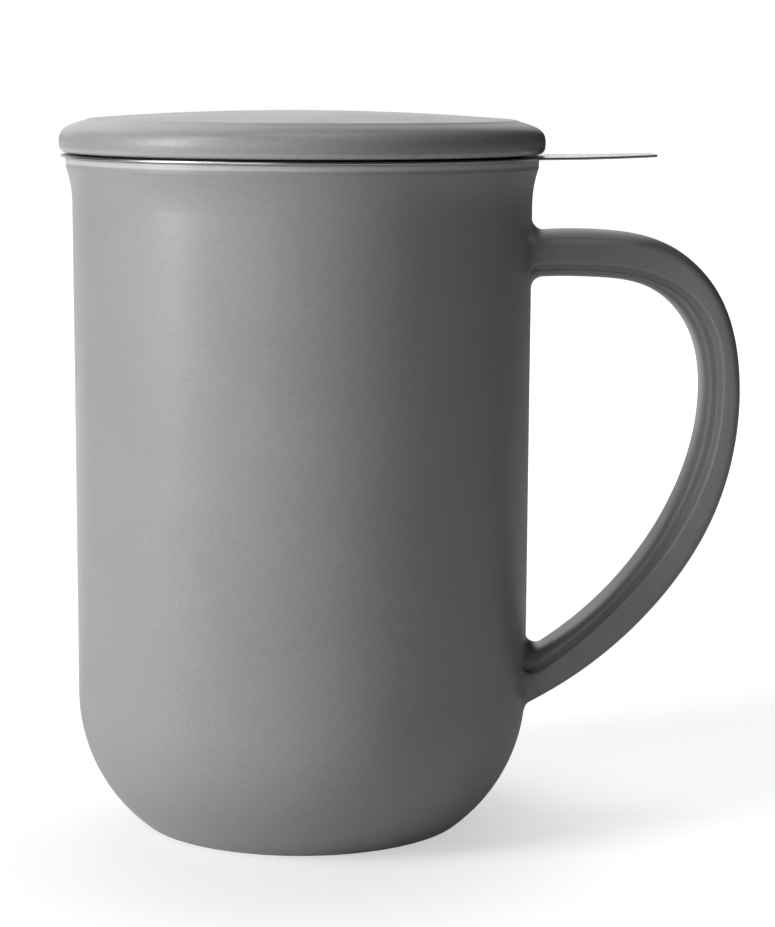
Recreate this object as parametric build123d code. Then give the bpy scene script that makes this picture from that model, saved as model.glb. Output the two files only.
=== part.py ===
from build123d import *
import math
import os

# Lidded tea mug with a lift-out infuser. Millimetres.
# The origin is the centre of the foot, +Z runs up the mug and +X points to the handle.

# Mug wall, slip-cast ceramic, outside radii and heights
RIM_Z = 125.0
RIM_R = 43.85
RIM_OUTER_FILLET = 0.4
RIM_INNER_FILLET = 1.3
LIP_LOW_Z = 116.5
LIP_FLARE_R = 20.7
LIP_LAND = 1.8
WALL_TOP_R = 42.65
WALL_LOW_R = 42.45
BASE_CURVE_Z = 24.4
BASE_CURVE_R = 31.0
FOOT_CHAMFER = 0.4
FOOT_INNER_R = 27.2
FOOT_RECESS = 1.7
FOOT_RECESS_FILLET = 1.0

# Mug inside
INSIDE_TOP_R = 39.1
INSIDE_LOW_R = 38.7
INSIDE_CURVE_R = 25.0
FLOOR_Z = 5.0
FLOOR_FILLET = 6.0

# Handle: an outer band with a narrower, round-edged rib along its inner side. Its lines run from
# the upper root round the bow to the lower one; the rib starts halfway into the band.
BAND_HALF_WIDTH = 7.6
RIB_HALF_WIDTH = 6.4
BAND_EDGE_R = 2.3
RIB_EDGE_R = 2.6
LEDGE_EDGE_R = 0.7
ROOT_FILLET = 1.8
ROOT_X = 40.5
ROOT_END_X = 44.0
ROOT_BITE = 0.4
FLARE_BITE = 0.02
FLARE_HAIR = 0.03
HANDLE_MID_Z = 66.0
OUTER_LINE = [(ROOT_X, 111.1), (54.0, 111.75), (67.4, 109.25), (76.8, 101.3), (81.85, 81.0),
              (76.6, 57.5), (63.9, 38.95), (ROOT_X, 21.5)]
INNER_LINE = [(ROOT_X, 103.0), (53.5, 103.4), (64.4, 101.5), (71.9, 94.5), (74.7, 81.0),
              (69.55, 60.4), (57.55, 42.95), (ROOT_X, 30.0)]
LEDGE_LINE = [(ROOT_X, 104.5), (54.0, 104.9), (65.0, 103.1), (73.8, 96.9), (77.3, 83.5),
              (73.0, 62.2), (60.1, 43.5), (ROOT_X, 27.2)]
RIB_ROOT_LINE = [((a + c) / 2, (b + d) / 2) for (a, b), (c, d) in zip(OUTER_LINE, LEDGE_LINE)]

# Infuser, stainless sheet
SHEET_RIM = 0.45
SHEET_EDGE_R = 0.15
SHEET_MESH = 0.35
FLANGE_R = 44.7
COLLAR_R = 37.65
COLLAR_LOW_Z = 117.0
COLLAR_BEND = 0.95
TAB_TIP_X = 65.35
TAB_START_X = 41.0
TAB_ROOT_HALF = 14.0
TAB_TIP_HALF = 6.3
TAB_CORNER_R = 1.8
TAB_ROOT_R = 4.0
TAB_RISE = 0.6
TAB_BEND_X = 45.5
TAB_TRIM = 3.0
SLEEVE_TOP_Z = 123.4
SLEEVE_LOW_Z = 19.5
CUP_TOP_Z = 25.5
CUP_FLOOR_Z = 13.0
CUP_CORNER_R = 6.0

# Perforation of the infuser: six-sided punches, in staggered rows round the sleeve and in
# rings on the base
PUNCH_FLATS = 1.8
PUNCH_LENGTH = 3.0
SLEEVE_ROWS = 12
SLEEVE_PUNCHES_PER_ROW = 24
SLEEVE_ROW_LOW_Z = 30.0
SLEEVE_ROW_HIGH_Z = 112.0
BASE_RINGS = 5
BASE_RING_PITCH = 5.2
BASE_PUNCHES_PER_RING = 6

# Lid, ceramic, with a locating skirt and a seal under its edge
LID_R = 45.0
LID_EQUATOR_Z = 127.9
LID_SHOULDER = (33.6, 132.42)
LID_CORNER = (40.4, 131.62)
LID_HIGH_EDGE = (43.75, 130.35)
LID_APEX_Z = 133.55
LID_UNDERSIDE_Z = 125.85
LID_UNDERSIDE_R = 43.8
LID_HOLLOW_Z = 128.4
LID_HOLLOW_FILLET = 2.0
SKIRT_R = 36.2
SKIRT_T = 3.2
SKIRT_LOW_Z = 119.6
SKIRT_OUTER_FILLET = 1.2
SKIRT_INNER_FILLET = 1.0
SEAL_R = 40.7
SEAL_GROOVE_R = 40.9
SEAL_GROOVE_Z = 127.05

# Values that follow from the ones above
FLANGE_TOP_Z = RIM_Z + SHEET_RIM
COLLAR_INNER_R = COLLAR_R - SHEET_RIM
SLEEVE_INNER_R = COLLAR_INNER_R - SHEET_MESH
CUP_INNER_R = SLEEVE_INNER_R - SHEET_MESH
BASE_CENTRE_R = WALL_LOW_R - BASE_CURVE_R
FOOT_R = BASE_CENTRE_R + math.sqrt(BASE_CURVE_R**2 - BASE_CURVE_Z**2)
NEAR = 0.2


def turned(outline):
    """A solid of revolution about Z from a closed outline given as (radius, height)."""
    return revolve(make_face(outline), Axis.Z)


def in_section(points):
    """Points given as (radius, height), put in the plane of the section."""
    return [Vector(r, 0, z) for r, z in points]


def lines(*points):
    """Straight lines through points given as (radius, height)."""
    return Polyline(*in_section(points))


def arc_below(centre_r, centre_z, radius, start_deg, end_deg):
    """Part of a circle in the section, by its middle point, so that it runs from start to end."""
    def at(degrees):
        a = math.radians(degrees)
        return Vector(centre_r + radius * math.cos(a), 0, centre_z + radius * math.sin(a))
    return ThreePointArc(at(start_deg), at((start_deg + end_deg) / 2), at(end_deg))


def section_fillet(outline, corners):
    """Rounds the named corners, each (radius, height, fillet radius), of a closed section."""
    face = make_face(outline).face()
    for r, z, radius in corners:
        corner = face.vertices().sort_by_distance(Vector(r, 0, z))[0]
        face = face.fillet_2d(radius, [corner])
    return face


def outer_wall():
    """The outside line of the mug, from the foot to the rim."""
    foot_deg = -math.degrees(math.asin(BASE_CURVE_Z / BASE_CURVE_R))
    belly = arc_below(BASE_CENTRE_R, BASE_CURVE_Z, BASE_CURVE_R, foot_deg, 0)
    wall = lines((WALL_LOW_R, BASE_CURVE_Z), (WALL_TOP_R, LIP_LOW_Z))
    lip_rise = RIM_Z - LIP_LAND - LIP_LOW_Z
    lip_deg = 180 + math.degrees(-math.asin(lip_rise / LIP_FLARE_R))
    lip = arc_below(WALL_TOP_R + LIP_FLARE_R, LIP_LOW_Z, LIP_FLARE_R, 180, lip_deg)
    land = lines(((lip @ 1).X, (lip @ 1).Z), (RIM_R, RIM_Z))
    return [belly, wall, lip, land]


def mug_body():
    """Wall, rim, bowl and foot ring in one turned section."""
    curve_end = FLOOR_Z - BASE_CURVE_Z
    inside_centre_r = INSIDE_LOW_R - INSIDE_CURVE_R
    floor_deg = math.degrees(math.asin(curve_end / INSIDE_CURVE_R))
    bowl = arc_below(inside_centre_r, BASE_CURVE_Z, INSIDE_CURVE_R, 0, floor_deg)
    bowl_end = bowl @ 1
    recess_r = FOOT_INNER_R - FOOT_RECESS / 2
    outline = outer_wall() + [
        lines((RIM_R, RIM_Z), (INSIDE_TOP_R, RIM_Z), (INSIDE_LOW_R, BASE_CURVE_Z)),
        bowl,
        lines((bowl_end.X, bowl_end.Z), (0, FLOOR_Z), (0, FOOT_RECESS),
              (recess_r, FOOT_RECESS), (FOOT_INNER_R, 0), (FOOT_R, 0)),
    ]
    face = section_fillet(outline, [
        (RIM_R, RIM_Z, RIM_OUTER_FILLET),
        (INSIDE_TOP_R, RIM_Z, RIM_INNER_FILLET),
        (bowl_end.X, bowl_end.Z, FLOOR_FILLET),
        (recess_r, FOOT_RECESS, FOOT_RECESS_FILLET),
        (FOOT_INNER_R, 0, FOOT_CHAMFER),
        (FOOT_R, 0, FOOT_CHAMFER),
    ])
    return revolve(face, Axis.Z)


def solid_mug(smaller):
    """The mug's outside as one plain solid, for fitting the handle to the wall."""
    foot_deg = -math.degrees(math.asin(BASE_CURVE_Z / BASE_CURVE_R))
    belly = arc_below(BASE_CENTRE_R, BASE_CURVE_Z, BASE_CURVE_R - smaller, foot_deg, 0)
    foot = belly @ 0
    rest = lines((WALL_LOW_R - smaller, BASE_CURVE_Z), (WALL_TOP_R - smaller, LIP_LOW_Z),
                 (0, LIP_LOW_Z), (0, foot.Z), (foot.X, foot.Z))
    return Rot(0, 0, 180) * turned([belly, rest])


def side_face(first, second):
    """The area between two lines of the handle, seen from the side."""
    a = Spline(*in_section(first))
    b = Spline(*in_section(second))
    return make_face([a, Line(a @ 1, b @ 1), b, Line(b @ 0, a @ 0)])


def strip(first, second, half_width):
    """The handle's solid between two of its side lines."""
    return extrude(side_face(first, second), half_width, both=True)


def soften(solid, points, half_width, radius):
    """Rounds the two long edges of a strip that follow one of its side lines."""
    line = Spline(*in_section(points))

    def follows(edge):
        middle = edge @ 0.5
        on_side = abs(abs(middle.Y) - half_width) < NEAR
        return on_side and line.distance_to(Vector(middle.X, 0, middle.Z)) < NEAR
    return solid.fillet(radius, [e for e in solid.edges() if follows(e)])


def spread_apart(line, by):
    """A side line of the handle with its upper half moved up and its lower half down."""
    return [(x, z + math.copysign(by, z - HANDLE_MID_Z)) for x, z in line]


def root_flares(wall, smaller_wall):
    """The two ends of the handle, a hair stouter than it, spreading into the wall with a fillet."""
    outer, inner = spread_apart(OUTER_LINE, FLARE_HAIR), spread_apart(INNER_LINE, -FLARE_HAIR)
    half_width = BAND_HALF_WIDTH + FLARE_HAIR
    plain = strip(outer, inner, half_width)
    plain = soften(plain, outer, half_width, BAND_EDGE_R)
    plain = soften(plain, inner, half_width, BAND_EDGE_R)
    near_wall = Pos(0, 0, RIM_Z / 2) * Box(2 * ROOT_END_X, 4 * BAND_HALF_WIDTH, 2 * RIM_Z)
    wall_band = WALL_TOP_R - WALL_LOW_R + NEAR
    flares = []
    for stub in (plain & near_wall).solids():
        joined = stub + smaller_wall
        low, high = stub.bounding_box().min.Z, stub.bounding_box().max.Z

        def at_root(edge):
            middle = edge @ 0.5
            off_wall = abs(math.hypot(middle.X, middle.Y) - WALL_TOP_R)
            return middle.X > 0 and low <= middle.Z <= high and off_wall <= wall_band
        spread = joined.fillet(ROOT_FILLET, [e for e in joined.edges() if at_root(e)])
        flares.append(spread - wall)
    return flares


def mug_handle():
    """The handle with its ribbed section, its ends bitten into the wall and flared on it."""
    band = strip(OUTER_LINE, LEDGE_LINE, BAND_HALF_WIDTH)
    band = soften(band, OUTER_LINE, BAND_HALF_WIDTH, BAND_EDGE_R)
    band = soften(band, LEDGE_LINE, BAND_HALF_WIDTH, LEDGE_EDGE_R)
    rib = strip(RIB_ROOT_LINE, INNER_LINE, RIB_HALF_WIDTH)
    rib = soften(rib, INNER_LINE, RIB_HALF_WIDTH, RIB_EDGE_R)
    handle = band + rib - solid_mug(ROOT_BITE)
    for flare in root_flares(solid_mug(0), solid_mug(FLARE_BITE)):
        handle += flare
    return handle


def tab_plan():
    """Flange and tab seen from above: a tongue that narrows to a round-cornered tip."""
    tongue = make_face(Polyline((0, -TAB_ROOT_HALF), (TAB_START_X, -TAB_ROOT_HALF),
                                (TAB_TIP_X, -TAB_TIP_HALF), (TAB_TIP_X, TAB_TIP_HALF),
                                (TAB_START_X, TAB_ROOT_HALF), (0, TAB_ROOT_HALF), close=True))
    plan = (Circle(FLANGE_R) + tongue).face()
    tip = plan.vertices().sort_by(Axis.X)[-2:]
    plan = plan.fillet_2d(TAB_CORNER_R, tip)

    def at_root(corner):
        return abs(math.hypot(corner.X, corner.Y) - FLANGE_R) < NEAR and corner.X > 0
    return plan.fillet_2d(TAB_ROOT_R, plan.vertices().filter_by(at_root))


def tab():
    """The lifting tab, bent up a little towards its tip."""
    end_x = TAB_TIP_X + TAB_TRIM
    rise = Spline(*in_section([(TAB_BEND_X, FLANGE_TOP_Z), (end_x, FLANGE_TOP_Z + TAB_RISE)]),
                  tangents=[(1, 0, 0), (1, 0, 2 * TAB_RISE / (end_x - TAB_BEND_X))])
    low = Pos(0, 0, -SHEET_RIM) * rise
    flat = lines((TAB_BEND_X, RIM_Z), (TAB_START_X, RIM_Z), (TAB_START_X, FLANGE_TOP_Z),
                 (TAB_BEND_X, FLANGE_TOP_Z))
    side = make_face([rise, Line(rise @ 1, low @ 1), low, flat])
    sheet = extrude(side, FLANGE_R, both=True)
    return sheet & Pos(0, 0, RIM_Z) * extrude(tab_plan(), TAB_TRIM, both=True)


def infuser_rim():
    """Flange that rests on the mug's rim, with a short collar drawn down inside it and the tab."""
    outline = [lines((FLANGE_R, RIM_Z), (FLANGE_R, FLANGE_TOP_Z), (COLLAR_INNER_R, FLANGE_TOP_Z),
                     (COLLAR_INNER_R, COLLAR_LOW_Z), (COLLAR_R, COLLAR_LOW_Z), (COLLAR_R, RIM_Z),
                     (FLANGE_R, RIM_Z))]
    section = section_fillet(outline, [
        (COLLAR_INNER_R, FLANGE_TOP_Z, COLLAR_BEND + SHEET_RIM),
        (COLLAR_R, RIM_Z, COLLAR_BEND),
    ])
    sheet = revolve(section, Axis.Z) + tab()

    def outside(edge):
        middle = edge @ 0.5
        return math.hypot(middle.X, middle.Y) > FLANGE_R - NEAR and edge.length > SHEET_RIM + NEAR
    return sheet.fillet(SHEET_EDGE_R, [e for e in sheet.edges() if outside(e)])


def punch():
    """One punch: a short six-sided bar along Z, centred on the origin."""
    hole = RegularPolygon(PUNCH_FLATS / 2, 6, major_radius=False)
    return extrude(hole, PUNCH_LENGTH / 2, both=True)


def infuser_sleeve():
    """Rolled, perforated sheet wall of the basket, welded inside the collar, plain at its ends."""
    wall = turned([lines((COLLAR_INNER_R, SLEEVE_LOW_Z), (COLLAR_INNER_R, SLEEVE_TOP_Z),
                         (SLEEVE_INNER_R, SLEEVE_TOP_Z), (SLEEVE_INNER_R, SLEEVE_LOW_Z),
                         (COLLAR_INNER_R, SLEEVE_LOW_Z))])
    through_wall = Pos(SLEEVE_INNER_R, 0, 0) * Rot(0, 90, 0) * punch()
    row_pitch = (SLEEVE_ROW_HIGH_Z - SLEEVE_ROW_LOW_Z) / (SLEEVE_ROWS - 1)
    punches = []
    for row in range(SLEEVE_ROWS):
        at_row = Pos(0, 0, SLEEVE_ROW_LOW_Z + row * row_pitch)
        stagger = 0.25 + 0.5 * (row % 2)
        for place in range(SLEEVE_PUNCHES_PER_ROW):
            turn = (place + stagger) * 360 / SLEEVE_PUNCHES_PER_ROW
            punches.append(at_row * Rot(0, 0, turn) * through_wall)
    return wall - punches


def infuser_base():
    """Drawn, perforated cup that closes the basket, its upstand welded inside the sleeve."""
    outline = [lines((SLEEVE_INNER_R, CUP_TOP_Z), (SLEEVE_INNER_R, CUP_FLOOR_Z), (0, CUP_FLOOR_Z),
                     (0, CUP_FLOOR_Z + SHEET_MESH), (CUP_INNER_R, CUP_FLOOR_Z + SHEET_MESH),
                     (CUP_INNER_R, CUP_TOP_Z), (SLEEVE_INNER_R, CUP_TOP_Z))]
    cup = revolve(section_fillet(outline, [
        (SLEEVE_INNER_R, CUP_FLOOR_Z, CUP_CORNER_R),
        (CUP_INNER_R, CUP_FLOOR_Z + SHEET_MESH, CUP_CORNER_R - SHEET_MESH),
    ]), Axis.Z)
    through_floor = Pos(0, 0, CUP_FLOOR_Z) * punch()
    punches = [through_floor]
    for ring in range(1, BASE_RINGS + 1):
        at_ring = Pos(ring * BASE_RING_PITCH, 0, 0)
        count = ring * BASE_PUNCHES_PER_RING
        for place in range(count):
            punches.append(Rot(0, 0, place * 360 / count) * at_ring * through_floor)
    return cup - punches


def lid():
    """Bullnose disc with a shallow dome, a locating skirt below and a rebate for the seal."""
    shoulder_r, shoulder_z = LID_SHOULDER
    crown = LID_APEX_Z - shoulder_z
    dome_r = (shoulder_r**2 + crown**2) / (2 * crown)
    shoulder_deg = math.degrees(math.acos(shoulder_r / dome_r))
    lower = Spline(*in_section([(LID_UNDERSIDE_R, LID_UNDERSIDE_Z), (LID_R, LID_EQUATOR_Z)]),
                   tangents=[(1, 0, 0), (0, 0, 1)])
    upper = Spline(*in_section([(LID_R, LID_EQUATOR_Z), LID_HIGH_EDGE, LID_CORNER, LID_SHOULDER]),
                   tangents=[(0, 0, 1), (-1, 0, 2 * crown / shoulder_r)])
    dome = arc_below(0, LID_APEX_Z - dome_r, dome_r, shoulder_deg, 90)
    skirt_inner_r = SKIRT_R - SKIRT_T
    under = lines((0, LID_APEX_Z), (0, LID_HOLLOW_Z), (skirt_inner_r, LID_HOLLOW_Z),
                  (skirt_inner_r, SKIRT_LOW_Z), (SKIRT_R, SKIRT_LOW_Z), (SKIRT_R, SEAL_GROOVE_Z),
                  (SEAL_GROOVE_R, SEAL_GROOVE_Z), (SEAL_GROOVE_R, LID_UNDERSIDE_Z),
                  (LID_UNDERSIDE_R, LID_UNDERSIDE_Z))
    return revolve(section_fillet([lower, upper, dome, under], [
        (skirt_inner_r, LID_HOLLOW_Z, LID_HOLLOW_FILLET),
        (skirt_inner_r, SKIRT_LOW_Z, SKIRT_INNER_FILLET),
        (SKIRT_R, SKIRT_LOW_Z, SKIRT_OUTER_FILLET),
    ]), Axis.Z)


def lid_seal():
    """Flat soft ring over the skirt, which the lid rests on."""
    return turned([lines((SKIRT_R, SEAL_GROOVE_Z), (SEAL_R, SEAL_GROOVE_Z), (SEAL_R, FLANGE_TOP_Z),
                         (SKIRT_R, FLANGE_TOP_Z), (SKIRT_R, SEAL_GROOVE_Z))])


nodes = {
    "mug_body": mug_body(),
    "mug_handle": mug_handle(),
    "infuser_rim": infuser_rim(),
    "infuser_sleeve": infuser_sleeve(),
    "infuser_base": infuser_base(),
    "lid": lid(),
    "lid_seal": lid_seal(),
}

os.makedirs("parts", exist_ok=True)
for name, solid in nodes.items():
    export_step(solid, f"parts/{name}.step")
    print(name, len(solid.solids()), round(solid.volume), solid.is_valid)
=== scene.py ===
import math
import bmesh
import bpy
import numpy
from mathutils import Matrix, Vector


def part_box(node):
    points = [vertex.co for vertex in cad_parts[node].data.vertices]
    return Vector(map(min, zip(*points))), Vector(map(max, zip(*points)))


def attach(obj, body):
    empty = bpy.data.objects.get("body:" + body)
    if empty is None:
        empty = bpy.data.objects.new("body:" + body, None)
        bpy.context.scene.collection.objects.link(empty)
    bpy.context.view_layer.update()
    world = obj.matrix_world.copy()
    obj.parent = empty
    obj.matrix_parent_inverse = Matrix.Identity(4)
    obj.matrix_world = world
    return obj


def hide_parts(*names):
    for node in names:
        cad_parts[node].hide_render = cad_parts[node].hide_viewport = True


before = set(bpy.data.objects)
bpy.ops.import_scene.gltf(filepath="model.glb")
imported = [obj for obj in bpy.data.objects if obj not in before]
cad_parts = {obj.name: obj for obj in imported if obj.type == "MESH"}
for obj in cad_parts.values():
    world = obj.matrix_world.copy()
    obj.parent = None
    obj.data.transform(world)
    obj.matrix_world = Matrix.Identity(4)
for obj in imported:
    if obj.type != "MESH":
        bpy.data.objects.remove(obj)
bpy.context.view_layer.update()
mm = 0.001
sharpAngle = math.radians(20)


# small helpers for node trees and meshes

def put(tree, kind, values=None, **settings):
    # adds a node; a value is either a plain default or another node's output to link
    node = tree.nodes.new(kind)
    for key, value in settings.items():
        setattr(node, key, value)
    for socket, value in (values or {}).items():
        if isinstance(value, bpy.types.NodeSocket):
            tree.links.new(value, node.inputs[socket])
        else:
            node.inputs[socket].default_value = value
    return node


def maths(tree, operation, first, second=0.0):
    return put(tree, "ShaderNodeMath", {0: first, 1: second}, operation=operation).outputs[0]


def fromTo(tree, value, low, high, lowOut=0.0, highOut=1.0, smooth=True):
    # maps low..high to lowOut..highOut, held at both ends
    kind = "SMOOTHSTEP" if smooth else "LINEAR"
    values = {"Value": value, "From Min": low, "From Max": high, "To Min": lowOut, "To Max": highOut}
    return put(tree, "ShaderNodeMapRange", values, interpolation_type=kind).outputs["Result"]


def mixColour(tree, share, first, second):
    node = tree.nodes.new("ShaderNodeMix")
    node.data_type = "RGBA"
    for socket, value in ((node.inputs[0], share), (node.inputs[6], first), (node.inputs[7], second)):
        if isinstance(value, bpy.types.NodeSocket):
            tree.links.new(value, socket)
        else:
            socket.default_value = value
    return node.outputs[2]


def noise(tree, vector, scale, detail=2.0):
    node = put(tree, "ShaderNodeTexNoise", {"Vector": vector, "Scale": scale, "Detail": detail})
    return node.outputs["Fac"]


def swing(tree, value, span, middle, reach):
    # middle - reach at the span's low end, middle + reach at its high end
    return fromTo(tree, value, span[0], span[1], middle - reach, middle + reach)


def outFromAxis(tree, parts):
    squares = [maths(tree, "POWER", parts[axis], 2.0) for axis in ("X", "Y")]
    return maths(tree, "SQRT", maths(tree, "ADD", *squares))


def bump(tree, shader, height, depth):
    raised = put(tree, "ShaderNodeBump", {"Height": height, "Strength": 1.0, "Distance": depth * mm})
    tree.links.new(raised.outputs["Normal"], shader.inputs["Normal"])


def grey(level, warm=0.0):
    return (level * (1 + warm), level, level * (1 - warm), 1.0)


def newMaterial(name):
    material = bpy.data.materials.new(name)
    material.use_nodes = True
    tree = material.node_tree
    return material, tree, tree.nodes["Principled BSDF"]


def repaint(nodeName, material):
    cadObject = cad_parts[nodeName]
    cadObject.data.materials.clear()
    cadObject.data.materials.append(material)
    for face in cadObject.data.polygons:
        face.material_index = 0


def meshObject(name, verts, faces):
    mesh = bpy.data.meshes.new(name)
    mesh.from_pydata(verts, [], faces)
    made = bpy.data.objects.new(name, mesh)
    bpy.context.scene.collection.objects.link(made)
    return made


def turnOutwards(made):
    # a closed mesh's faces all point out of it
    shape = bmesh.new()
    shape.from_mesh(made.data)
    bmesh.ops.recalc_face_normals(shape, faces=shape.faces)
    shape.to_mesh(made.data)
    shape.free()


def groupInputs(group, fields):
    # named inputs of a Geometry Nodes group; gives the modifier identifier of each
    found = {}
    for name, kind in fields:
        found[name] = group.interface.new_socket(name, in_out="INPUT", socket_type=kind).identifier
    group.interface.new_socket("Geometry", in_out="OUTPUT", socket_type="NodeSocketGeometry")
    return found


def placeOf(group):
    position = put(group, "GeometryNodeInputPosition").outputs[0]
    return put(group, "ShaderNodeSeparateXYZ", {0: position}).outputs


def compared(group, operation, first, second):
    return put(group, "FunctionNodeCompare", {0: first, 1: second}, operation=operation).outputs[0]


def staggered(group, perRow):
    # row and column of each point, counted row by row, every second row half a column further on
    number = put(group, "GeometryNodeInputIndex").outputs[0]
    row = maths(group, "FLOOR", maths(group, "DIVIDE", maths(group, "ADD", number, 0.5), perRow))
    column = maths(group, "SUBTRACT", number, maths(group, "MULTIPLY", row, perRow))
    shift = maths(group, "MULTIPLY", maths(group, "MODULO", row, 2.0), 0.5)
    return row, maths(group, "ADD", column, shift)


def endGroup(group, geometry, steel):
    real = put(group, "GeometryNodeRealizeInstances", {0: geometry}).outputs[0]
    painted = put(group, "GeometryNodeSetMaterial", {"Geometry": real, "Material": steel})
    put(group, "NodeGroupOutput", {0: painted.outputs[0]})


def grown(name, source, group, identifiers, values):
    # runs a node group on an object once and keeps its result as a plain mesh
    modifier = source.modifiers.new(name, "NODES")
    modifier.node_group = group
    for field, value in values.items():
        modifier[identifiers[field]] = value
    evaluated = source.evaluated_get(bpy.context.evaluated_depsgraph_get())
    mesh = bpy.data.meshes.new_from_object(evaluated)
    mesh.name = name
    mesh.shade_smooth()
    mesh.set_sharp_from_angle(angle=sharpAngle)
    source.modifiers.remove(modifier)
    bpy.data.objects.remove(source)
    made = bpy.data.objects.new(name, mesh)
    bpy.context.scene.collection.objects.link(made)
    return made


# camera

cameraLook = {
    "place": (0.0160, -0.5053, 0.1411),
    "pitchDown": 8.285,
    "roll": 0.292,
    "lens": 105.06,
    "sensor": 36.0,
}


def makeCamera(look):
    data = bpy.data.cameras.new("camera")
    data.lens = look["lens"]
    data.sensor_width = look["sensor"]
    camera = bpy.data.objects.new("camera", data)
    bpy.context.scene.collection.objects.link(camera)
    tilt = Matrix.Rotation(math.radians(90 - look["pitchDown"]), 4, "X")
    roll = Matrix.Rotation(math.radians(look["roll"]), 4, "Z")
    camera.matrix_world = Matrix.Translation(look["place"]) @ tilt @ roll
    bpy.context.scene.camera = camera


makeCamera(cameraLook)
print("camera placed")


# light: softboxes round the mug by azimuth and height angle, and a surround that is pale at the back

lightLook = {
    "centre": (0.01, 0.0, 0.07),
    "distance": 1.0,
    "boxes": {
        "keyBox": {"azimuth": -63.0, "height": 16.0, "size": (0.32, 0.5), "power": 6.7},
        "upperBox": {"azimuth": -60.0, "height": 45.0, "size": (0.4, 0.3), "power": 2.0},
        "frontBox": {"azimuth": -24.0, "height": 16.0, "size": (0.4, 0.5), "power": 1.25},
        "rearBox": {"azimuth": -150.0, "height": 48.0, "size": (0.5, 0.5), "power": 1.0},
        "highBox": {"azimuth": 178.0, "height": 86.0, "size": (0.35, 0.35), "power": 1.05},
        "wallBox": {"azimuth": -176.0, "height": 22.0, "size": (0.7, 0.5), "power": 0.55},
    },
    "surroundFront": 0.01,
    "surroundBack": 0.08,
    "backFrom": 0.1,
    "backTo": 0.85,
    "shineAxis": (-0.28, 0.96, 0.0),
    "shineFront": 0.01,
    "shineBack": 1.0,
    "shineFrom": 0.86,
    "shineTo": 0.96,
    "wallFoot": 0.3,
    "wallPaleFrom": 0.2,
    "wallTopFrom": 0.45,
    "wallTopTo": 0.85,
}


def softbox(name, centre, distance, box):
    # azimuth 0 is the camera's side and turns towards +X
    data = bpy.data.lights.new(name, "AREA")
    data.shape = "RECTANGLE"
    data.size, data.size_y = box["size"]
    data.energy = box["power"]
    lamp = bpy.data.objects.new(name, data)
    bpy.context.scene.collection.objects.link(lamp)
    turn, rise = math.radians(box["azimuth"]), math.radians(box["height"])
    away = Vector((math.sin(turn) * math.cos(rise), -math.cos(turn) * math.cos(rise), math.sin(rise)))
    lamp.location = Vector(centre) + distance * away
    lamp.rotation_euler = (-away).to_track_quat("-Z", "Y").to_euler()


def towardsWall(tree, direction, look, elsewhere, there):
    # a level that is high only where the lit wall stands, by compass bearing
    level = put(tree, "ShaderNodeVectorMath", {0: direction, 1: (1, 1, 0)}, operation="MULTIPLY").outputs[0]
    bearing = put(tree, "ShaderNodeVectorMath", {0: level}, operation="NORMALIZE").outputs[0]
    facing = put(tree, "ShaderNodeVectorMath", {0: bearing, 1: look["shineAxis"]}, operation="DOT_PRODUCT")
    return fromTo(tree, facing.outputs["Value"], look["shineFrom"], look["shineTo"], elsewhere, there)


def makeSurround(look):
    world = bpy.data.worlds.new("surround")
    bpy.context.scene.world = world
    world.use_nodes = True
    tree = world.node_tree
    tree.nodes.clear()
    direction = put(tree, "ShaderNodeTexCoord").outputs["Generated"]
    axes = put(tree, "ShaderNodeSeparateXYZ", {0: direction}).outputs
    path = put(tree, "ShaderNodeLightPath").outputs
    soft = fromTo(tree, axes["Y"], look["backFrom"], look["backTo"],
                  look["surroundFront"], look["surroundBack"])
    wall = towardsWall(tree, direction, look, look["shineFront"], look["shineBack"])
    rising = fromTo(tree, axes["Z"], 0.0, look["wallPaleFrom"], look["wallFoot"], 1.0)
    ending = fromTo(tree, axes["Z"], look["wallTopFrom"], look["wallTopTo"], 1.0, 0.0)
    shine = maths(tree, "MULTIPLY", wall, maths(tree, "MULTIPLY", rising, ending))
    level = fromTo(tree, path["Is Glossy Ray"], 0.0, 1.0, soft, shine, smooth=False)
    lit = put(tree, "ShaderNodeBackground", {"Color": (1, 1, 1, 1), "Strength": level})
    plain = put(tree, "ShaderNodeBackground", {"Color": (1, 1, 1, 1), "Strength": 1.0})
    mixed = put(tree, "ShaderNodeMixShader",
                {0: path["Is Camera Ray"], 1: lit.outputs[0], 2: plain.outputs[0]})
    put(tree, "ShaderNodeOutputWorld", {"Surface": mixed.outputs[0]})


for boxName, box in lightLook["boxes"].items():
    softbox(boxName, lightLook["centre"], lightLook["distance"], box)
makeSurround(lightLook)
bpy.context.scene.view_settings.view_transform = "Standard"
print("lights placed")


# floor: paper that glows for the camera, more so with distance, so that it is white away from the mug; the
# weaker glow round the contact point is painted shade about the foot

floorLook = {
    "half": 6.0,
    "white": 0.65,
    "whiteForOthers": 0.7,
    "contact": (-0.012, -0.03, 0.0),
    "glowContact": 0.51,
    "glowNear": 0.78,
    "contactTo": 0.02,
    "nearFrom": 0.10,
    "glowFarMore": 0.3,
    "farFrom": 0.15,
    "farTo": 0.8,
    "shineNear": 0.1,
    "shineWall": 0.8,
}


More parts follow.
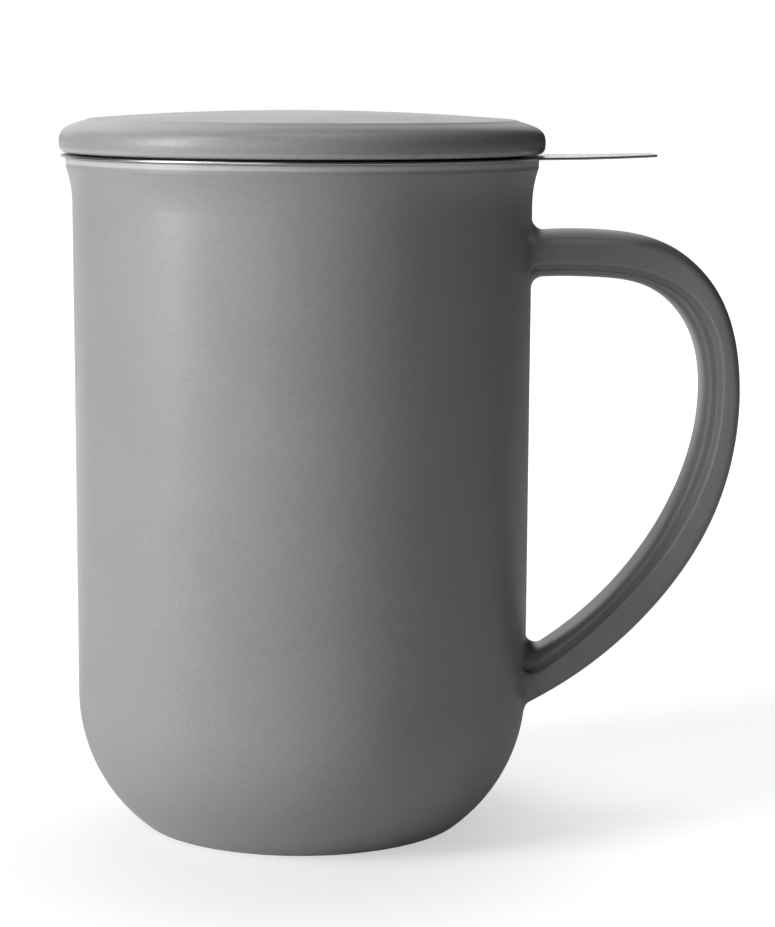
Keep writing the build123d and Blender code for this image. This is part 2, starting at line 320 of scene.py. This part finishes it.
def makeFloor(look):
    half = look["half"]
    floor = meshObject("floor", [(-half, -half, 0), (half, -half, 0), (half, half, 0), (-half, half, 0)],
                       [(0, 1, 2, 3)])
    material, tree, shader = newMaterial("floorPaper")
    path = put(tree, "ShaderNodeLightPath").outputs
    paper = mixColour(tree, path["Is Camera Ray"], grey(look["whiteForOthers"]), grey(look["white"]))
    tree.links.new(paper, shader.inputs["Base Color"])
    shader.inputs["Roughness"].default_value = 1.0
    shader.inputs["Specular IOR Level"].default_value = 0.0
    spot = put(tree, "ShaderNodeTexCoord").outputs["Object"]
    away = put(tree, "ShaderNodeVectorMath", {0: spot, 1: look["contact"]},
               operation="DISTANCE").outputs["Value"]
    # painted shade: the glow is weaker within a few centimetres of the contact point
    near = fromTo(tree, away, look["contactTo"], look["nearFrom"], look["glowContact"], look["glowNear"])
    far = fromTo(tree, away, look["farFrom"], look["farTo"], 0.0, look["glowFarMore"])
    seen = maths(tree, "MULTIPLY", path["Is Camera Ray"], maths(tree, "ADD", near, far))
    wall = towardsWall(tree, spot, lightLook, look["shineNear"], look["shineWall"])
    mirrored = maths(tree, "MULTIPLY", path["Is Glossy Ray"], wall)
    glow = maths(tree, "ADD", seen, mirrored)
    shader.inputs["Emission Color"].default_value = (1, 1, 1, 1)
    tree.links.new(glow, shader.inputs["Emission Strength"])
    floor.data.materials.append(material)


makeFloor(floorLook)
print("floor made")


# materials

glazeLook = {
    "level": 0.34,
    "mottle": 0.02,
    "mottleScale": 55.0,
    "grain": 0.025,
    "grainScale": 1400.0,
    "turning": 0.005,
    "turningScale": 700.0,
    "cloudSpan": (0.3, 0.7),
    "grainSpan": (0.35, 0.65),
    "edgeWander": 0.2,
    "roughness": 0.36,
    "roughnessSwing": 0.03,
    "peelScale": 420.0,
    "peelDepth": 0.02,
    "clayLevel": 0.46,
    "clayWarm": 0.05,
    "clayRoughness": 0.9,
    "clayTop": 0.35,
    "clayInner": 26.9,
    "clayFade": 0.1,
}
# from the band's first height to its second, in mm, the glaze gets paler by the given factor: painted
# light, and on the mug's lip also thinner glaze
# the mug's lip band: thinner glaze with a painted highlight
mugGlazeLook = dict(glazeLook, thinAndLitBand=(123.75, 124.2), thinAndLitPaleness=1.7, footRing=True)
# the handle's glaze is set darker than the mug's as painted shade, the body's shadow on it, and its top
# band paler as painted light from above
handleGlazeLook = dict(glazeLook, level=0.3, thinAndLitBand=(109.3, 111.2), thinAndLitPaleness=2.3, footRing=False)
# the lid's lower edge is paler as painted light bounced up from the floor
lidGlazeLook = dict(glazeLook, thinAndLitBand=(127.2, 126.3), thinAndLitPaleness=1.4, footRing=False)


def glazeMaterial(name, look):
    # satin grey glaze: faint mottling, fine grain, turning lines and a slight orange peel,
    # a paler band that is painted light, on the mug's lip also thinner glaze, and bare clay under the foot
    # ring
    material, tree, shader = newMaterial(name)
    spot = put(tree, "ShaderNodeTexCoord").outputs["Object"]
    parts = put(tree, "ShaderNodeSeparateXYZ", {0: spot}).outputs
    out = outFromAxis(tree, parts)
    cloud = noise(tree, spot, look["mottleScale"], 4.0)
    rings = put(tree, "ShaderNodeCombineXYZ", {"X": out, "Z": parts["Z"]}).outputs[0]
    cloudSpan, grainSpan = look["cloudSpan"], look["grainSpan"]
    level, mottle = look["level"], look["mottle"]
    clouded = mixColour(tree, fromTo(tree, cloud, *cloudSpan),
                        grey(level * (1 - mottle)), grey(level * (1 + mottle)))
    dusting = swing(tree, noise(tree, spot, look["grainScale"]), grainSpan, 1.0, look["grain"])
    ringed = swing(tree, noise(tree, rings, look["turningScale"]), grainSpan, 1.0, look["turning"])
    wander = maths(tree, "MULTIPLY", cloud, look["edgeWander"] * mm)
    height = maths(tree, "ADD", parts["Z"], wander)
    # painted light: the glaze is paler between the band's two heights
    thinAndLitFrom, thinAndLitTo = look["thinAndLitBand"]
    thinAndLit = fromTo(tree, height, thinAndLitFrom * mm, thinAndLitTo * mm, 1.0, look["thinAndLitPaleness"])
    strength = maths(tree, "MULTIPLY", thinAndLit, maths(tree, "MULTIPLY", dusting, ringed))
    glazed = put(tree, "ShaderNodeVectorMath", {0: clouded, "Scale": strength},
                 operation="SCALE").outputs[0]
    rough = swing(tree, cloud, cloudSpan, look["roughness"], look["roughnessSwing"])
    if look["footRing"]:
        top, inner, fade = look["clayTop"], look["clayInner"], look["clayFade"]
        low = fromTo(tree, height, top * mm, (top + fade) * mm, 1.0, 0.0)
        outer = fromTo(tree, out, inner * mm, (inner + fade) * mm)
        bare = maths(tree, "MULTIPLY", low, outer)
        glazed = mixColour(tree, bare, glazed, grey(look["clayLevel"], look["clayWarm"]))
        rough = fromTo(tree, bare, 0.0, 1.0, rough, look["clayRoughness"], smooth=False)
    tree.links.new(glazed, shader.inputs["Base Color"])
    tree.links.new(rough, shader.inputs["Roughness"])
    bump(tree, shader, noise(tree, spot, look["peelScale"], 3.0), look["peelDepth"])
    return material


steelLook = {
    "level": 0.58,
    "lineTone": 0.92,
    "lineSpan": (0.3, 0.7),
    "roughness": 0.24,
    "roughnessSwing": 0.07,
    "lineWidth": 0.12,
    "lineDepth": 0.004,
    "ringDrift": 3.0,
    "sheetRadius": 37.0,
    "lengthDrift": 60.0,
}


def steelMaterial(name, look, around=True):
    # brushed stainless: fine lines in rings round the axis, or along it
    material, tree, shader = newMaterial(name)
    spot = put(tree, "ShaderNodeTexCoord").outputs["Object"]
    parts = put(tree, "ShaderNodeSeparateXYZ", {0: spot}).outputs
    turn = maths(tree, "ARCTAN2", parts["Y"], parts["X"])
    fine = 1 / (look["lineWidth"] * mm)
    if around:
        along = {"X": maths(tree, "MULTIPLY", outFromAxis(tree, parts), fine),
                 "Y": maths(tree, "MULTIPLY", parts["Z"], fine),
                 "Z": maths(tree, "MULTIPLY", turn, look["ringDrift"])}
    else:
        along = {"X": maths(tree, "MULTIPLY", turn, look["sheetRadius"] * mm * fine),
                 "Z": maths(tree, "MULTIPLY", parts["Z"], look["lengthDrift"])}
    lines = noise(tree, put(tree, "ShaderNodeCombineXYZ", along).outputs[0], 1.0)
    level, lineSpan = look["level"], look["lineSpan"]
    tone = mixColour(tree, fromTo(tree, lines, *lineSpan), grey(level * look["lineTone"]), grey(level))
    shader.inputs["Metallic"].default_value = 1.0
    tree.links.new(tone, shader.inputs["Base Color"])
    tree.links.new(swing(tree, lines, lineSpan, look["roughness"], look["roughnessSwing"]),
                   shader.inputs["Roughness"])
    bump(tree, shader, lines, look["lineDepth"])
    return material


gapShadeLook = {"level": 0.018, "levelSwing": 0.3, "roughness": 0.55, "grainScale": 1800.0, "grainDepth": 0.01}


def gapShadeMaterial(name, look):
    # near-black ring in the gap under the lid, painted shade of that gap, matt with a fine grain
    material, tree, shader = newMaterial(name)
    spot = put(tree, "ShaderNodeTexCoord").outputs["Object"]
    grain = noise(tree, spot, look["grainScale"])
    level, reach = look["level"], look["levelSwing"]
    tone = mixColour(tree, grain, grey(level * (1 - reach)), grey(level * (1 + reach)))
    tree.links.new(tone, shader.inputs["Base Color"])
    shader.inputs["Roughness"].default_value = look["roughness"]
    bump(tree, shader, grain, look["grainDepth"])
    return material


mugGlaze = glazeMaterial("mugGlaze", mugGlazeLook)
handleGlaze = glazeMaterial("handleGlaze", handleGlazeLook)
lidGlaze = glazeMaterial("lidGlaze", lidGlazeLook)
rimSteel = steelMaterial("rimSteel", steelLook)
sheetSteel = steelMaterial("sheetSteel", steelLook, around=False)
gapShadeBlack = gapShadeMaterial("gapShadeBlack", gapShadeLook)
repaint("mug_body", mugGlaze)
repaint("lid", lidGlaze)
repaint("infuser_rim", rimSteel)
# the ring under the lid is painted shade
repaint("lid_seal", gapShadeBlack)
print("materials made")


# handle: a domed band with a narrower, sunk rib inside it, flared on the wall; sizes in mm

handleLook = {
    "outerLine": [(40.5, 111.3), (54.0, 111.95), (67.4, 109.45), (76.8, 101.5), (81.84, 81.0),
                  (76.88, 57.38), (64.22, 38.63), (40.5, 21.2)],
    "ledgeLine": [(40.5, 104.5), (54.0, 104.9), (65.0, 103.1), (73.8, 96.9), (77.3, 83.5),
                  (73.0, 62.2), (60.1, 43.5), (40.5, 27.2)],
    "innerLine": [(40.5, 102.75), (53.5, 103.15), (64.4, 101.25), (71.7, 94.3), (74.5, 81.0),
                  (69.35, 60.5), (57.4, 43.1), (40.5, 30.15)],
    "bandHalf": 7.6,
    "bandLean": 0.25,
    "domes": [1.3, 1.3, 1.2, 0.8, 0.45, 0.45, 0.5, 0.6],
    "domeShares": (0.85, 0.7, 0.55, 0.4, 0.2, 0.0),
    "bandEdges": [1.0, 1.0, 1.1, 1.4, 1.7, 1.7, 1.6, 1.4],
    "ledgeEdge": 0.8,
    "ledgeLean": 0.6,
    "ribHalf": 6.3,
    "ribLean": 0.5,
    "ribEdge": (2.4, 4.6),
    "ribStraight": 0.35,
    "crease": [(0.3, 0.0), (0.1, 0.05), (0.0, 0.25)],
    "flare": 2.2,
    "wallLow": (24.4, 42.45),
    "wallTop": (116.5, 42.65),
    "bellyRadius": 31.0,
    "rings": 120,
    "flareSteps": 8,
    "sunk": 0.6,
    "rootSink": 0.02,
    "searchSpan": 0.6,
    "searchHalvings": 30,
    "slopeStep": 0.01,
}


def lineThrough(points):
    # a smooth line: its points, the gaps between them and its slope at each
    spots = numpy.array(points)
    gaps = numpy.linalg.norm(numpy.diff(spots, axis=0), axis=1)
    runs = numpy.diff(spots, axis=0) / gaps[:, None]
    count = len(spots)
    system = numpy.eye(count)
    right = numpy.zeros_like(spots)
    right[0] = runs[0] - (runs[1] - runs[0]) * gaps[0] / (gaps[0] + gaps[1])
    right[-1] = runs[-1] + (runs[-1] - runs[-2]) * gaps[-1] / (gaps[-1] + gaps[-2])
    for k in range(1, count - 1):
        before, after = gaps[k - 1], gaps[k]
        system[k, k - 1:k + 2] = (after, 2 * (before + after), before)
        right[k] = 3 * (after * runs[k - 1] + before * runs[k])
    return spots, gaps, numpy.linalg.solve(system, right)


def pointOn(line, t):
    # t counts the line's points, with fractions between them
    spots, gaps, slopes = line
    k = min(max(int(t), 0), len(gaps) - 1)
    f = t - k
    return ((1 + 2 * f) * (1 - f)**2 * spots[k] + f * (1 - f)**2 * gaps[k] * slopes[k]
            + f * f * (3 - 2 * f) * spots[k + 1] + f * f * (f - 1) * gaps[k] * slopes[k + 1])


def corner(u, v, wide, tall, start=0.0, end=90.0, steps=6):
    # round corner about (u, v), from facing the rib's side to facing across
    turns = [math.radians(start + (end - start) * k / steps) for k in range(steps + 1)]
    return [(u - wide * math.cos(a), v + tall * math.sin(a)) for a in turns]


def handleSection(look, rib, whole, dome, edge):
    # half of the section, (u from the inner line outwards, v across), from inner middle to outer middle
    half, ledgeEdge = look["bandHalf"], look["ledgeEdge"]
    ribHalf, (ribWide, ribTall) = look["ribHalf"], look["ribEdge"]
    ribWide = min(ribWide, rib - look["ribStraight"])
    inner = [(0.0, 0.0), (0.0, (ribHalf - ribTall) / 2)]
    inner += corner(ribWide, ribHalf - ribTall, ribWide, ribTall)
    ribSide = ribHalf - look["ribLean"] * min(1.0, rib - ribWide)
    inner += [(rib - before, ribSide + rise) for before, rise in look["crease"]]
    ledge = corner(rib + look["ledgeLean"] + ledgeEdge, half - ledgeEdge, ledgeEdge, ledgeEdge)
    slope = math.atan2(2 * dome, half)
    edgeU, edgeV = whole - dome - edge * math.cos(slope), half - look["bandLean"] - edge
    rim = [(2 * edgeU - u, v) for u, v in corner(edgeU, edgeV, edge, edge, 90.0, math.degrees(slope))]
    domeHalf = edgeV + edge * math.sin(slope)
    top = [(whole - dome * share * share, domeHalf * share) for share in look["domeShares"]]
    return inner + ledge + rim + top


def makeHandle(look):
    lines = [lineThrough(look[name]) for name in ("innerLine", "ledgeLine", "outerLine")]
    last = len(look["innerLine"]) - 1

    def sectionAt(t):
        # the three lines' points at t, the rib's and the band's depth there, and half the section
        a, b, c = (pointOn(line, t) for line in lines)
        rib, band = numpy.linalg.norm(b - a), numpy.linalg.norm(c - b)
        dome, edge = (numpy.interp(t, range(last + 1), look[name]) for name in ("domes", "bandEdges"))
        return a, b, c, rib, band, handleSection(look, rib, rib + band, dome, edge)

    half = len(sectionAt(0.0)[-1])
    around = 2 * half - 2

    def skin(t, j):
        # the surface's point on section line j at t
        a, b, c, rib, band, section = sectionAt(t)
        u, v = section[j if j < half else around - j]
        x, z = a + (b - a) * u / rib if u < rib else b + (c - b) * (u - rib) / band
        return numpy.array((x, v if j < half else -v, z))

    def wallRadius(z):
        (lowZ, lowR), (topZ, topR) = look["wallLow"], look["wallTop"]
        if z < lowZ:
            bend = look["bellyRadius"]
            return lowR - bend + math.sqrt(bend * bend - (lowZ - z)**2)
        return lowR + (topR - lowR) * (z - lowZ) / (topZ - lowZ)

    def offWall(point):
        return math.hypot(point[0], point[1]) - wallRadius(point[2])

    def unit(way):
        return way / numpy.linalg.norm(way)

    def flare(j, start, towards):
        # rounded spread on the wall along section line j, from inside the wall to where it leaves the flare
        inside, outside = start, start + look["searchSpan"] * towards
        for _ in range(look["searchHalvings"]):
            middle = (inside + outside) / 2
            inside, outside = (middle, outside) if offWall(skin(middle, j)) < 0 else (inside, middle)
        step = look["slopeStep"] * towards
        meeting = skin(inside, j)
        run = (skin(inside + step, j) - meeting) / abs(step)
        speed = numpy.linalg.norm(run)
        run = run / speed
        across = skin(inside, (j + 1) % around) - skin(inside, (j - 1) % around)
        facing = unit(numpy.cross(across, run)) * towards
        wallFacing = unit(numpy.array((meeting[0], meeting[1], 0)))
        spread = unit(facing - numpy.dot(facing, wallFacing) * wallFacing)
        opening = math.acos(numpy.dot(run, spread))
        reach = look["flare"] / math.tan(opening / 2)
        centre = meeting + unit(run + spread) * look["flare"] / math.sin(opening / 2)
        leaves = inside + towards * reach / speed
        first, second = meeting + reach * spread - centre, skin(leaves, j) - centre
        turn = math.pi - opening
        points = []
        for k in range(look["flareSteps"] + 1):
            share = k / look["flareSteps"]
            arc = math.sin((1 - share) * turn) * first + math.sin(share * turn) * second
            points.append(centre + arc / math.sin(turn))
        points[0] = points[0] - (max(0.0, offWall(points[0])) + look["rootSink"]) * wallFacing
        points.insert(0, points[0] - look["sunk"] * wallFacing)
        return points, leaves

    columns = []
    for j in range(around):
        upper, leaves = flare(j, 0.0, 1.0)
        lower, meets = flare(j, float(last), -1.0)
        rows = look["rings"]
        bow = [skin(leaves + (meets - leaves) * k / rows, j) for k in range(1, rows)]
        columns.append(upper + bow + lower[::-1])
    length = len(columns[0])
    verts = [tuple(columns[j][k] * mm) for k in range(length) for j in range(around)]
    faces = []
    for k in range(length - 1):
        for j in range(around):
            n = (j + 1) % around
            faces.append((k * around + j, k * around + n, (k + 1) * around + n, (k + 1) * around + j))
    faces += [tuple(range(around)), tuple((length - 1) * around + j for j in range(around))]
    handle = meshObject("loopHandle", verts, faces)
    turnOutwards(handle)
    handle.data.materials.append(handleGlaze)
    handle.data.shade_smooth()
    print("handle faces", len(faces))
    return handle


handle = makeHandle(handleLook)
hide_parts("mug_handle")
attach(handle, "mug")
print("handle made")


# perforated sleeve of the infuser, rolled up from punched cells

sleeveLook = {
    "perRow": 100,
    "holeWidth": 1.25,
    "cellHeight": 2.2,
    "sheet": 0.35,
    "plainTop": 9.0,
    "plainBottom": 8.0,
    "seamHalf": 2.6,
    "mergeWithin": 0.02,
}


def cellEdge(width, height):
    half, tall = width / 2, height / 2
    return [(0, tall), (half, tall), (half, -tall), (0, -tall), (-half, -tall), (-half, tall)]


def punchedCell(name, width, height, sheet, hole):
    # a flat oblong of sheet with a six-sided hole
    turns = [math.radians(60 * k) for k in range(6)]
    ring = [(hole * math.sin(turn), hole * math.cos(turn)) for turn in turns]
    verts = [(x, y, z) for z in (sheet / 2, -sheet / 2) for x, y in cellEdge(width, height) + ring]
    faces = []
    for k in range(6):
        n = (k + 1) % 6
        faces += [(k, 6 + k, 6 + n, n), (12 + n, 18 + n, 18 + k, 12 + k), (6 + k, 18 + k, 18 + n, 6 + n)]
    return meshObject(name, verts, faces)


def plainCell(name, width, height, sheet, rise=0.0, closed=None):
    # the same oblong left whole, moved up by rise, with a cut edge closed at its top or bottom
    verts = [(x, y + rise, z) for z in (sheet / 2, -sheet / 2) for x, y in cellEdge(width, height)]
    faces = [(5, 4, 3, 0), (0, 3, 2, 1), (6, 9, 10, 11), (7, 8, 9, 6)]
    if closed == "bottom":
        faces += [(3, 4, 10, 9), (2, 3, 9, 8)]
    if closed == "top":
        faces += [(5, 0, 6, 11), (0, 1, 7, 6)]
    return meshObject(name, verts, faces)


def rollGroup():
    # lays cells out in staggered rows and rolls the sheet into a tube
    group = bpy.data.node_groups.new("rollSheet", "GeometryNodeTree")
    fields = [("Cell", "NodeSocketGeometry"), ("Blank", "NodeSocketObject"),
              ("LowBand", "NodeSocketObject"), ("HighBand", "NodeSocketObject"),
              ("PerRow", "NodeSocketInt"), ("Rows", "NodeSocketInt"), ("CellHeight", "NodeSocketFloat"),
              ("LowZ", "NodeSocketFloat"), ("Radius", "NodeSocketFloat"), ("SeamHalf", "NodeSocketFloat"),
              ("MergeWithin", "NodeSocketFloat"), ("Steel", "NodeSocketMaterial")]
    identifiers = groupInputs(group, fields)
    given = put(group, "NodeGroupInput").outputs
    row, column = staggered(group, given["PerRow"])
    wide = maths(group, "DIVIDE", maths(group, "MULTIPLY", given["Radius"], 2 * math.pi), given["PerRow"])
    along = maths(group, "MULTIPLY", column, wide)
    up = maths(group, "MULTIPLY", maths(group, "ADD", row, 0.5), given["CellHeight"])
    spot = put(group, "ShaderNodeCombineXYZ", {"X": along, "Y": up}).outputs[0]
    count = maths(group, "MULTIPLY", given["PerRow"], given["Rows"])
    points = put(group, "GeometryNodePoints", {"Count": count, "Position": spot}).outputs[0]
    middle = maths(group, "MULTIPLY", given["Radius"], math.pi)
    offSeam = maths(group, "ABSOLUTE", maths(group, "SUBTRACT", placeOf(group)["X"], middle))
    punched = compared(group, "GREATER_THAN", offSeam, given["SeamHalf"])
    whole = put(group, "FunctionNodeBooleanMath", {0: punched}, operation="NOT").outputs[0]
    firstRow = compared(group, "LESS_THAN", row, 0.5)
    lastRow = compared(group, "GREATER_THAN", row, maths(group, "SUBTRACT", given["Rows"], 1.5))
    joined = put(group, "GeometryNodeJoinGeometry")
    placed = {"Cell": punched, "Blank": whole, "LowBand": firstRow, "HighBand": lastRow}
    for instance, selection in placed.items():
        shape = given[instance]
        if instance != "Cell":
            shape = put(group, "GeometryNodeObjectInfo", {"Object": shape}).outputs["Geometry"]
        laid = put(group, "GeometryNodeInstanceOnPoints",
                   {"Points": points, "Instance": shape, "Selection": selection})
        group.links.new(laid.outputs[0], joined.inputs[0])
    flat = put(group, "GeometryNodeRealizeInstances", {0: joined.outputs[0]})
    here = placeOf(group)
    angle = maths(group, "DIVIDE", here["X"], given["Radius"])
    radius = maths(group, "ADD", here["Z"], given["Radius"])
    rolled = put(group, "ShaderNodeCombineXYZ", {
        "X": maths(group, "MULTIPLY", radius, maths(group, "COSINE", angle)),
        "Y": maths(group, "MULTIPLY", radius, maths(group, "SINE", angle)),
        "Z": maths(group, "ADD", here["Y"], given["LowZ"])})
    tube = put(group, "GeometryNodeSetPosition",
               {"Geometry": flat.outputs[0], "Position": rolled.outputs[0]})
    merged = put(group, "GeometryNodeMergeByDistance",
                 {"Geometry": tube.outputs[0], "Distance": given["MergeWithin"]})
    endGroup(group, merged.outputs[0], given["Steel"])
    return group, identifiers


def makeSleeve(look):
    low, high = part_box("infuser_sleeve")
    sheet, cellHeight = look["sheet"] * mm, look["cellHeight"] * mm
    radius = high.x - sheet / 2
    width = 2 * math.pi * radius / look["perRow"]
    lowBand = look["plainBottom"] * mm
    rows = int((high.z - low.z - lowBand - look["plainTop"] * mm) / cellHeight)
    highBand = high.z - low.z - lowBand - rows * cellHeight
    cell = punchedCell("sleeveCell", width, cellHeight, sheet, look["holeWidth"] * mm / 2)
    blank = plainCell("sleeveBlank", width, cellHeight, sheet)
    lowPlain = plainCell("sleeveLowBand", width, lowBand, sheet, -(cellHeight + lowBand) / 2, "bottom")
    highPlain = plainCell("sleeveHighBand", width, highBand, sheet, (cellHeight + highBand) / 2, "top")
    group, identifiers = rollGroup()
    tube = grown("perforatedSleeve", cell, group, identifiers, {
        "Blank": blank, "LowBand": lowPlain, "HighBand": highPlain, "PerRow": look["perRow"], "Rows": rows,
        "CellHeight": cellHeight, "LowZ": low.z + lowBand, "Radius": radius,
        "SeamHalf": look["seamHalf"] * mm, "MergeWithin": look["mergeWithin"] * mm, "Steel": sheetSteel})
    for helper in (blank, lowPlain, highPlain):
        bpy.data.objects.remove(helper)
    print("sleeve cells", look["perRow"] * rows, "faces", len(tube.data.polygons))
    return tube


sleeve = makeSleeve(sleeveLook)
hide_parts("infuser_sleeve")
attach(sleeve, "infuser")
print("sleeve made")


# weld along the sleeve's seam, on the side away from the handle

seamLook = {
    "halfWidth": 0.45,
    "proud": 0.14,
    "sunk": 0.06,
    "sides": 8,
    "step": 0.35,
    "ripple": 0.3,
    "endSwell": 0.05,
    "clear": 0.6,
}


def makeSeam(look):
    low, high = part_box("infuser_sleeve")
    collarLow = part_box("infuser_rim")[0].z
    bottom, top = low.z + look["clear"] * mm, collarLow - look["clear"] * mm
    steps = int((top - bottom) / (look["step"] * mm))
    sides = look["sides"]
    verts, faces = [], []
    for k in range(steps + 1):
        swell = 1 - look["ripple"] * (k % 2)
        if k in (0, steps):
            swell = look["endSwell"]
        for j in range(sides):
            around = math.pi * j / (sides - 1)
            proud = look["proud"] * swell * math.sin(around) - look["sunk"] * (j in (0, sides - 1))
            verts.append((-high.x - proud * mm, look["halfWidth"] * mm * math.cos(around),
                          bottom + (top - bottom) * k / steps))
    for k in range(steps):
        for j in range(sides):
            a, b = k * sides + j, k * sides + (j + 1) % sides
            faces.append((a, b, b + sides, a + sides))
    faces += [tuple(range(sides - 1, -1, -1)), tuple(range(steps * sides, (steps + 1) * sides))]
    seam = meshObject("sleeveSeam", verts, faces)
    turnOutwards(seam)
    seam.data.materials.append(rimSteel)
    seam.data.shade_smooth()
    return seam


seam = makeSeam(seamLook)
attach(seam, "infuser")
print("seam made")


# drawn cup that closes the infuser, its floor punched in staggered rows

cupLook = {
    "sheet": 0.35,
    "corner": 6.0,
    "segments": 128,
    "bendSteps": 8,
    "holeSides": 6,
    "holeWidth": 1.25,
    "pitch": 2.3,
    "reach": 29.2,
    "spareRows": 3,
    "punchSheets": 4,
}
# the rows of a staggered grid stand closer than its columns
rowSpacing = math.sqrt(0.75)


def cupShell(look, outer, lowZ, topZ):
    # the turned shell, outside and inside, with no holes yet
    sheet, corner = look["sheet"] * mm, look["corner"] * mm

    def bend(radius, centreR, centreZ):
        turns = [math.radians(90 * k / look["bendSteps"]) for k in range(look["bendSteps"] + 1)]
        return [(centreR + radius * math.cos(t), centreZ - radius * math.sin(t)) for t in turns]
    outside = [(outer, topZ)] + bend(corner, outer - corner, lowZ + corner)
    inside = [(outer - sheet, topZ)] + bend(corner - sheet, outer - corner, lowZ + corner)
    section = outside + inside[::-1]
    count, around = len(section), look["segments"]
    verts = []
    for k in range(around):
        turn = 2 * math.pi * k / around
        verts += [(r * math.cos(turn), r * math.sin(turn), z) for r, z in section]
    faces = []
    for k in range(around):
        n = (k + 1) % around
        for j in range(count):
            if j != len(outside) - 1:
                m = (j + 1) % count
                faces.append((k * count + j, k * count + m, n * count + m, n * count + j))
    below, above = len(outside) - 1, len(outside)
    faces.append(tuple(k * count + below for k in range(around - 1, -1, -1)))
    faces.append(tuple(k * count + above for k in range(around)))
    return meshObject("cupShell", verts, faces)


def punchGroup():
    # takes staggered punches out of the middle of a flat floor
    group = bpy.data.node_groups.new("punchFloor", "GeometryNodeTree")
    fields = [("Shell", "NodeSocketGeometry"), ("Side", "NodeSocketInt"), ("Pitch", "NodeSocketFloat"),
              ("Reach", "NodeSocketFloat"), ("HoleSides", "NodeSocketInt"),
              ("HoleRadius", "NodeSocketFloat"), ("FloorZ", "NodeSocketFloat"),
              ("Depth", "NodeSocketFloat"), ("Steel", "NodeSocketMaterial")]
    identifiers = groupInputs(group, fields)
    given = put(group, "NodeGroupInput").outputs
    row, column = staggered(group, given["Side"])
    half = maths(group, "DIVIDE", maths(group, "SUBTRACT", given["Side"], 1.0), 2.0)
    across = maths(group, "SUBTRACT", column, half)
    along = maths(group, "MULTIPLY", maths(group, "SUBTRACT", row, half), rowSpacing)
    spot = put(group, "ShaderNodeCombineXYZ", {"X": maths(group, "MULTIPLY", across, given["Pitch"]),
                                               "Y": maths(group, "MULTIPLY", along, given["Pitch"]),
                                               "Z": given["FloorZ"]}).outputs[0]
    count = maths(group, "MULTIPLY", given["Side"], given["Side"])
    points = put(group, "GeometryNodePoints", {"Count": count, "Position": spot}).outputs[0]
    within = compared(group, "LESS_THAN", outFromAxis(group, placeOf(group)), given["Reach"])
    bar = put(group, "GeometryNodeMeshCylinder", {"Vertices": given["HoleSides"],
                                                  "Radius": given["HoleRadius"], "Depth": given["Depth"]})
    laid = put(group, "GeometryNodeInstanceOnPoints",
               {"Points": points, "Instance": bar.outputs["Mesh"], "Selection": within})
    bars = put(group, "GeometryNodeRealizeInstances", {0: laid.outputs[0]})
    cut = put(group, "GeometryNodeMeshBoolean", {"Mesh 1": given["Shell"], "Mesh 2": bars.outputs[0]},
              operation="DIFFERENCE")
    endGroup(group, cut.outputs[0], given["Steel"])
    return group, identifiers


def makeCup(look):
    low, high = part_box("infuser_base")
    shell = cupShell(look, high.x, low.z, high.z)
    turnOutwards(shell)
    group, identifiers = punchGroup()
    side = 2 * int(look["reach"] / (look["pitch"] * rowSpacing)) + look["spareRows"]
    cup = grown("perforatedCup", shell, group, identifiers, {
        "Side": side, "Pitch": look["pitch"] * mm, "Reach": look["reach"] * mm,
        "HoleSides": look["holeSides"], "HoleRadius": look["holeWidth"] * mm / 2,
        "FloorZ": low.z + look["sheet"] * mm / 2, "Depth": look["punchSheets"] * look["sheet"] * mm,
        "Steel": rimSteel})
    print("cup faces", len(cup.data.polygons))
    return cup


cup = makeCup(cupLook)
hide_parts("infuser_base")
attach(cup, "infuser")
print("cup made")
